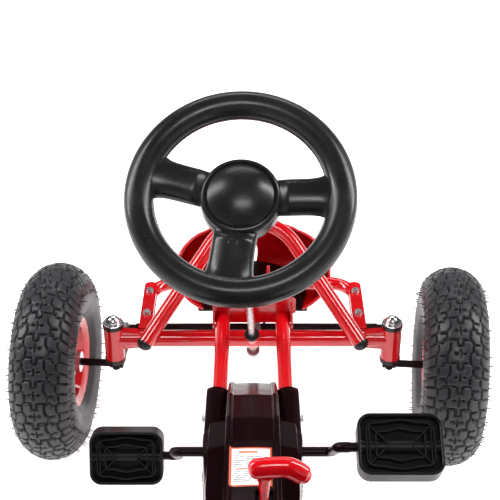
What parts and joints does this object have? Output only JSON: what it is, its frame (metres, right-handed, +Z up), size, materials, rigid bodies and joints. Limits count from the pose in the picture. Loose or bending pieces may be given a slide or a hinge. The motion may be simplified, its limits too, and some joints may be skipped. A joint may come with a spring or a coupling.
{
  "type": "pedal go kart",
  "caption": "Child's pedal go kart with steered front wheels, chain drive, sliding bucket seat, steering wheel, nose fairing and block-tread pneumatic tyres.",
  "frame": {"origin": "on the floor under the middle of the kart's bounding box", "axes": "+Y forwards along the kart, +X to the driver's right, +Z up"},
  "size_m": [0.6232, 1.0878, 0.6157],
  "materials": {
    "red_paint": "glossy red powder coat",
    "red_plastic": "glossy moulded red plastic",
    "black_plastic": "satin moulded black plastic",
    "black_gloss": "glossy moulded black plastic",
    "black_steel": "glossy black powder coat",
    "zinc": "zinc-plated steel",
    "chrome": "bright plated caps",
    "tyre": "charcoal tyre rubber with moulded tread",
    "grip": "soft black grip rubber"
  },
  "bodies": {
    "frame": {"main_rails": "red_paint", "front_beam": "red_paint", "front_hoop": "red_paint", "hoop_plugs": "black_plastic", "steering_bracket": "red_paint", "column_stay": "red_paint", "column_bushes": "black_plastic", "fairing_brackets": "red_paint", "bracket_bolts": "zinc", "fairing_tube": "red_paint", "fairing": "red_plastic", "cover_screws": "zinc", "kingpin_bushes": "black_plastic", "chain_guard": "black_gloss", "crank_brackets": "red_paint", "crank_bushes": "black_plastic", "rear_carrier": "red_paint", "rear_bearings": "zinc", "drive_chain": "zinc", "seat_support": "red_paint", "lever_pivots": "red_paint"},
    "steering": {"steering_wheel": "black_plastic", "wheel_cap": "black_gloss", "steering_column": "zinc", "pitman_arm": "zinc"},
    "tie_rod": {"tie_bar": "black_steel", "tie_bar_fork": "black_steel", "tie_bar_bolts": "zinc"},
    "left_knuckle": {"left_knuckle": "black_steel", "left_kingpin_cap": "chrome", "left_stub_nut": "zinc"},
    "right_knuckle": {"right_knuckle": "black_steel", "right_kingpin_cap": "chrome", "right_stub_nut": "zinc"},
    "left_front_wheel": {"left_front_tyre": "tyre", "left_front_rim": "red_paint", "left_front_hub": "zinc"},
    "right_front_wheel": {"right_front_tyre": "tyre", "right_front_rim": "red_paint", "right_front_hub": "zinc"},
    "right_rear_wheel": {"right_rear_tyre": "tyre", "right_rear_rim": "red_paint", "right_rear_hub": "zinc"},
    "drive_axle": {"rear_axle": "zinc", "rear_sprocket": "zinc", "axle_nuts": "zinc", "left_rear_tyre": "tyre", "left_rear_rim": "red_paint", "left_rear_hub": "zinc"},
    "crank_set": {"crank": "black_steel", "crank_sprocket": "zinc"},
    "left_pedal": {"left_pedal": "black_plastic"},
    "right_pedal": {"right_pedal": "black_plastic"},
    "seat": {"seat_shell": "black_plastic", "seat_runners": "zinc", "seat_knobs": "black_plastic"},
    "shift": {"shift_lever": "red_paint", "shift_handle": "red_plastic"},
    "brake": {"brake_lever": "black_steel", "brake_grip": "grip"}
  },
  "joints": [
    {"name": "steering_turn", "type": "hinge", "parent": "frame", "child": "steering", "pos_m": [-0.0007, 0.248, 0.173], "axis": [-0.0235, -0.6046, 0.7962], "range_deg": [-20.3, 32.3]},
    {"name": "left_kingpin_turn", "type": "hinge", "parent": "frame", "child": "left_knuckle", "pos_m": [-0.1833, 0.248, 0.132], "axis": [0, 0, 1], "range_deg": [-13.94, 22.15]},
    {"name": "right_kingpin_turn", "type": "hinge", "parent": "frame", "child": "right_knuckle", "pos_m": [0.1833, 0.248, 0.132], "axis": [0, 0, 1], "range_deg": [-13.94, 22.15]},
    {"name": "tie_rod_swing", "type": "hinge", "parent": "left_knuckle", "child": "tie_rod", "pos_m": [-0.17786, 0.32381, 0.13], "axis": [0, 0, 1], "range_deg": [-22.15, 13.94]},
    {"name": "left_front_spin", "type": "hinge", "parent": "left_knuckle", "child": "left_front_wheel", "pos_m": [-0.2622, 0.25366, 0.132], "axis": [0.9974, -0.0716, 0], "continuous": true},
    {"name": "right_front_spin", "type": "hinge", "parent": "right_knuckle", "child": "right_front_wheel", "pos_m": [0.2622, 0.24234, 0.132], "axis": [0.9974, -0.0716, 0], "continuous": true},
    {"name": "axle_spin", "type": "hinge", "parent": "frame", "child": "drive_axle", "pos_m": [0, -0.412, 0.132], "axis": [1, 0, 0], "continuous": true},
    {"name": "right_rear_spin", "type": "hinge", "parent": "drive_axle", "child": "right_rear_wheel", "pos_m": [0.2624, -0.412, 0.132], "axis": [1, 0, 0], "continuous": true},
    {"name": "crank_spin", "type": "hinge", "parent": "frame", "child": "crank_set", "pos_m": [0, -0.017, 0.21], "axis": [1, 0, 0], "continuous": true},
    {"name": "left_pedal_spin", "type": "hinge", "parent": "crank_set", "child": "left_pedal", "pos_m": [-0.1505, 0.05781, 0.13776], "axis": [1, 0, 0], "continuous": true},
    {"name": "right_pedal_spin", "type": "hinge", "parent": "crank_set", "child": "right_pedal", "pos_m": [0.1505, -0.09181, 0.28224], "axis": [1, 0, 0], "continuous": true},
    {"name": "seat_slide", "type": "slide", "parent": "frame", "child": "seat", "axis": [0, 1, 0], "range_m": [-0.03, 0.03]},
    {"name": "shift_swing", "type": "hinge", "parent": "frame", "child": "shift", "pos_m": [0.011, -0.177, 0.21], "axis": [1, 0, 0], "range_deg": [-10, 10]},
    {"name": "brake_pull", "type": "hinge", "parent": "frame", "child": "brake", "pos_m": [0.174, -0.297, 0.19], "axis": [1, 0, 0], "range_deg": [0, 5], "stiffness_Nm_per_rad": 3, "springref_deg": -11.46}
  ],
  "couplings": [
    {"joint": "left_kingpin_turn", "follows": "steering_turn", "ratio": 0.68421},
    {"joint": "right_kingpin_turn", "follows": "steering_turn", "ratio": 0.68421},
    {"joint": "tie_rod_swing", "follows": "steering_turn", "ratio": -0.68421},
    {"joint": "crank_spin", "follows": "axle_spin", "ratio": 0.69231}
  ]
}
